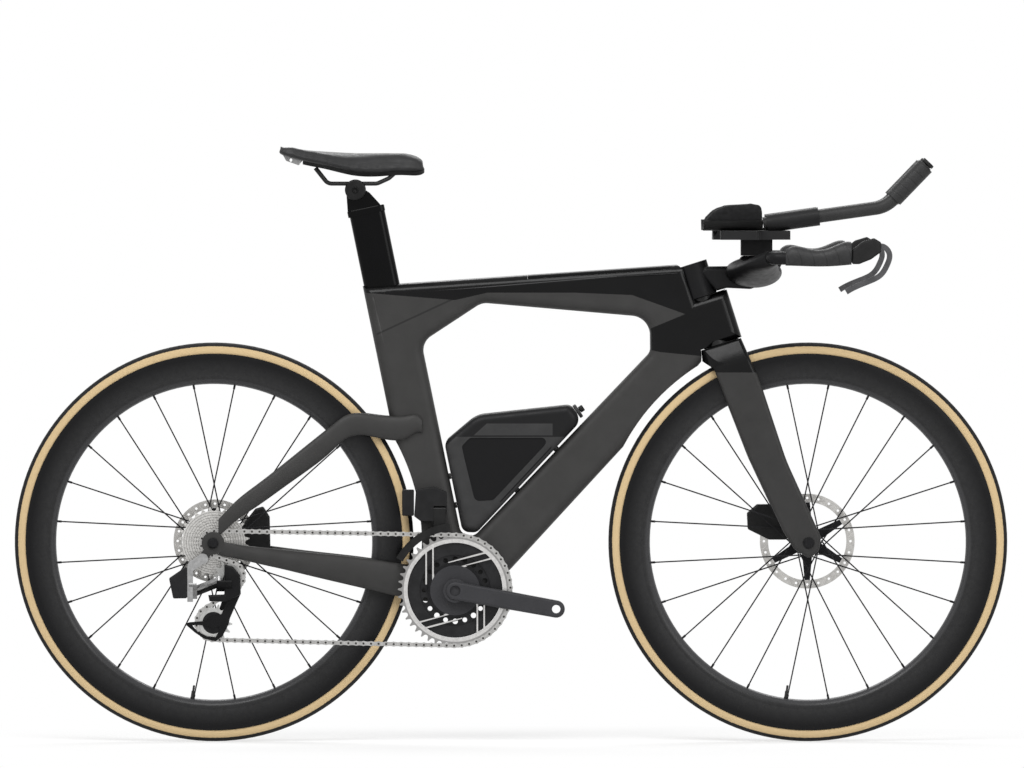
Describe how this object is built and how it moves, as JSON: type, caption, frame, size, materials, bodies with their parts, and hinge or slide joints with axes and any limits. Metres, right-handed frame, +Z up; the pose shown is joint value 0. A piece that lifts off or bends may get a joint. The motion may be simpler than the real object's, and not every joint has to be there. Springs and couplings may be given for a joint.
{
  "type": "time trial bicycle",
  "caption": "Time trial bicycle with deep aero tubes, disc brakes, deep rims, arm rests with raised extensions, electronic gears and a bottle in the frame triangle.",
  "frame": {"origin": "on the ground under the middle of the wheelbase, in the middle plane", "axes": "+X forward, +Y to the rider's left, +Z up; the chain is on the right, at -Y"},
  "size_m": [1.6719, 0.4304, 1.0092],
  "materials": {
    "carbon_satin": "satin charcoal",
    "carbon_gloss": "gloss black",
    "rim_gloss": "gloss black",
    "tyre": "black tread, tan side walls",
    "steel": "polished",
    "alloy_dark": "black anodised",
    "alloy_silver": "silver anodised",
    "plastic_black": "matt",
    "rubber_black": "matt",
    "tape_black": "wrapped tape",
    "pad_fabric": "woven",
    "saddle_skin": "matt synthetic"
  },
  "bodies": {
    "frame": {"frame": "carbon_satin", "top_tube_lid": "carbon_gloss", "seat_wedge": "alloy_dark", "headset_bearings": "steel", "bottom_bracket_bearings": "steel", "rear_axle": "alloy_dark", "rear_caliper": "alloy_dark", "bottle": "plastic_black", "bottle_cap": "plastic_black", "derailleur_body": "plastic_black", "derailleur_battery": "plastic_black", "front_derailleur": "plastic_black", "chain": "steel"},
    "front_end": {"fork": "carbon_satin", "base_bar": "carbon_gloss", "bar_grips": "tape_black", "brake_hoods": "rubber_black", "bridge_bolts": "steel", "arm_rest_riser": "carbon_gloss", "extensions": "carbon_gloss", "extension_grips": "tape_black", "arm_cups": "carbon_gloss", "arm_pads": "pad_fabric", "front_axle": "alloy_dark", "front_caliper": "alloy_dark"},
    "front_wheel": {"front_tyre": "tyre", "front_rim": "rim_gloss", "front_spokes": "alloy_dark", "front_hub": "alloy_dark", "front_rotor": "steel", "front_rotor_carrier": "alloy_dark"},
    "rear_wheel": {"rear_tyre": "tyre", "rear_rim": "rim_gloss", "rear_spokes": "alloy_dark", "rear_hub": "alloy_dark", "rear_rotor": "steel", "rear_rotor_carrier": "alloy_dark"},
    "crankset": {"crank_arm_right": "carbon_gloss", "crank_arm_left": "carbon_gloss", "chainring_outer": "alloy_silver", "chainring_inner": "alloy_dark"},
    "sprockets": {"cassette": "steel"},
    "outer_link": {"derailleur_outer_link": "alloy_silver"},
    "inner_link": {"derailleur_inner_link": "alloy_silver"},
    "knuckle": {"derailleur_knuckle": "alloy_dark"},
    "cage": {"derailleur_cage": "alloy_dark"},
    "upper_pulley": {"guide_pulley": "plastic_black"},
    "lower_pulley": {"tension_pulley": "plastic_black"},
    "front_cage": {"front_derailleur_cage": "alloy_dark"},
    "lever_right": {"brake_lever_right": "alloy_dark"},
    "lever_left": {"brake_lever_left": "alloy_dark"},
    "button_right": {"shift_button_right": "plastic_black"},
    "button_left": {"shift_button_left": "plastic_black"},
    "seat": {"seatpost": "carbon_gloss", "saddle_clamp": "alloy_dark", "saddle_rails": "alloy_dark", "saddle_shell": "carbon_gloss", "saddle_cover": "saddle_skin", "saddle_tail_mount": "alloy_silver"},
    "valve": {"bottle_valve": "rubber_black"}
  },
  "joints": [
    {"name": "steer", "type": "hinge", "parent": "frame", "child": "front_end", "pos_m": [0.32282, 0, 0.7483], "axis": [-0.3007, 0, 0.9537], "range_deg": [-58, 58]},
    {"name": "front_wheel_spin", "type": "hinge", "parent": "front_end", "child": "front_wheel", "pos_m": [0.5, 0, 0.336], "axis": [0, 1, 0], "continuous": true},
    {"name": "rear_wheel_spin", "type": "hinge", "parent": "frame", "child": "rear_wheel", "pos_m": [-0.5, 0, 0.336], "axis": [0, 1, 0], "continuous": true},
    {"name": "crank_spin", "type": "hinge", "parent": "frame", "child": "crankset", "pos_m": [-0.0938, 0, 0.256], "axis": [0, 1, 0], "continuous": true, "deforming": ["chain"]},
    {"name": "sprocket_spin", "type": "hinge", "parent": "frame", "child": "sprockets", "pos_m": [-0.5, 0, 0.336], "axis": [0, 1, 0], "continuous": true},
    {"name": "gear_shift", "type": "hinge", "parent": "frame", "child": "outer_link", "pos_m": [-0.531, -0.0696, 0.259], "axis": [0, 0.6, 0.8], "range_deg": [0, 60]},
    {"name": "inner_link_turn", "type": "hinge", "parent": "frame", "child": "inner_link", "pos_m": [-0.531, -0.0584, 0.2506], "axis": [0, 0.6, 0.8], "range_deg": [0, 60]},
    {"name": "knuckle_turn", "type": "hinge", "parent": "outer_link", "child": "knuckle", "pos_m": [-0.48955, -0.09195, 0.27576], "axis": [0, 0.6, 0.8], "range_deg": [-60, 0]},
    {"name": "chain_take_up", "type": "hinge", "parent": "knuckle", "child": "cage", "pos_m": [-0.473, -0.065, 0.28], "axis": [0, -1, 0], "range_deg": [-12, 50], "stiffness_Nm_per_rad": 0.4},
    {"name": "upper_pulley_spin", "type": "hinge", "parent": "cage", "child": "upper_pulley", "pos_m": [-0.473, -0.065, 0.28], "axis": [0, 1, 0], "continuous": true},
    {"name": "lower_pulley_spin", "type": "hinge", "parent": "cage", "child": "lower_pulley", "pos_m": [-0.49986, -0.065, 0.202], "axis": [0, 1, 0], "continuous": true},
    {"name": "front_gear_shift", "type": "hinge", "parent": "frame", "child": "front_cage", "pos_m": [-0.1298, -0.039, 0.392], "axis": [1, 0, 0], "range_deg": [0, 6]},
    {"name": "brake_right", "type": "hinge", "parent": "front_end", "child": "lever_right", "pos_m": [0.61292, -0.2, 0.8353], "axis": [0, 1, 0], "range_deg": [0, 20], "stiffness_Nm_per_rad": 0.6, "springref_deg": -11.46},
    {"name": "brake_left", "type": "hinge", "parent": "front_end", "child": "lever_left", "pos_m": [0.61292, 0.2, 0.8353], "axis": [0, 1, 0], "range_deg": [0, 20], "stiffness_Nm_per_rad": 0.6, "springref_deg": -11.46},
    {"name": "shift_press_right", "type": "slide", "parent": "front_end", "child": "button_right", "axis": [-0.6947, 0, -0.7193], "range_m": [0, 0.0012], "stiffness_N_per_m": 800, "springref_m": -0.001},
    {"name": "shift_press_left", "type": "slide", "parent": "front_end", "child": "button_left", "axis": [-0.6947, 0, -0.7193], "range_m": [0, 0.0012], "stiffness_N_per_m": 800, "springref_m": -0.001},
    {"name": "seat_height", "type": "slide", "parent": "frame", "child": "seat", "axis": [-0.2011, 0, 0.9796], "range_m": [-0.05, 0.04]},
    {"name": "bottle_valve_pull", "type": "slide", "parent": "frame", "child": "valve", "axis": [0.8286, 0, 0.5599], "range_m": [0, 0.004]}
  ],
  "couplings": [
    {"joint": "sprocket_spin", "follows": "crank_spin", "ratio": 4.6},
    {"joint": "upper_pulley_spin", "follows": "crank_spin", "ratio": -3.8333},
    {"joint": "lower_pulley_spin", "follows": "crank_spin", "ratio": 3.2857},
    {"joint": "inner_link_turn", "follows": "gear_shift", "ratio": 1},
    {"joint": "knuckle_turn", "follows": "gear_shift", "ratio": -1}
  ]
}
